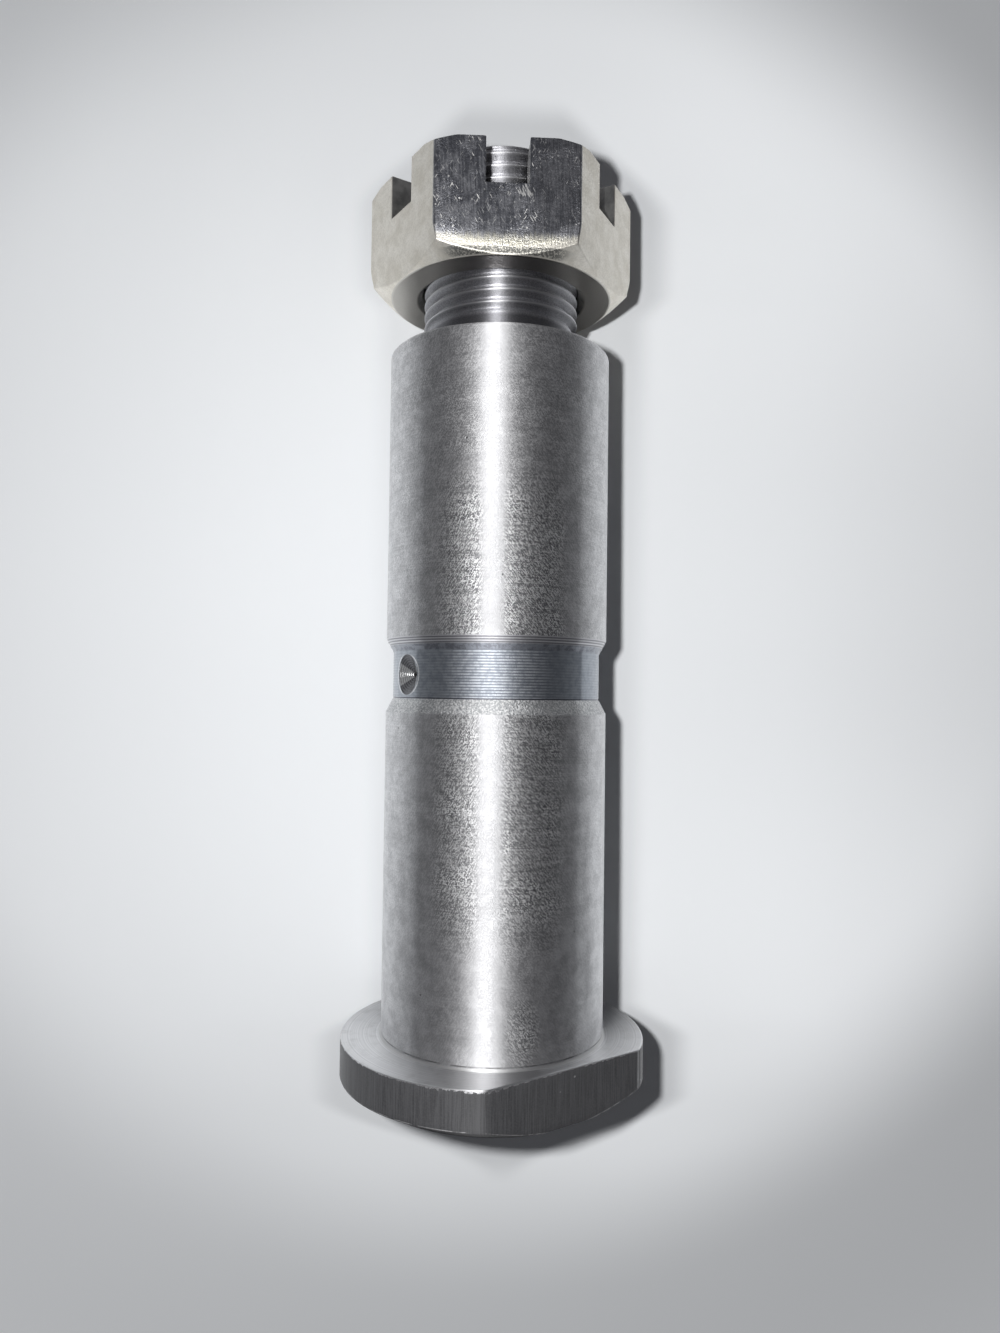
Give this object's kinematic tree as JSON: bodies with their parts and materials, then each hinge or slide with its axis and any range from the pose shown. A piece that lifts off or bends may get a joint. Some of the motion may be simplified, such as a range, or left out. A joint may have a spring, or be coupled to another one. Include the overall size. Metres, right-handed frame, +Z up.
{
  "type": "leaf spring pin",
  "caption": "Turned leaf spring pin with a flatted round head, a grease groove and a threaded stud, lying down with its slotted nut run part of the way on.",
  "frame": {"origin": "centre of the footprint's box, on the surface that the part lies on", "axes": "+Y along the pin towards the nut, +Z up; the pin's own axis drops 2.36 degrees towards the nut"},
  "size_m": [0.038, 0.1162, 0.0381],
  "materials": {
    "pin_steel": "bare ground steel, head side left as machined",
    "nut_zinc": "zinc plated, lightly scratched"
  },
  "bodies": {
    "pin": {"spring_pin": "pin_steel"},
    "nut": {"castle_nut": "nut_zinc"}
  },
  "joints": [
    {"name": "nut_turn", "type": "hinge", "parent": "pin", "child": "nut", "pos_m": [0, 0.04195, 0.01515], "axis": [0, 0.9992, -0.0411], "range_deg": [-1800, 3600]}
  ]
}
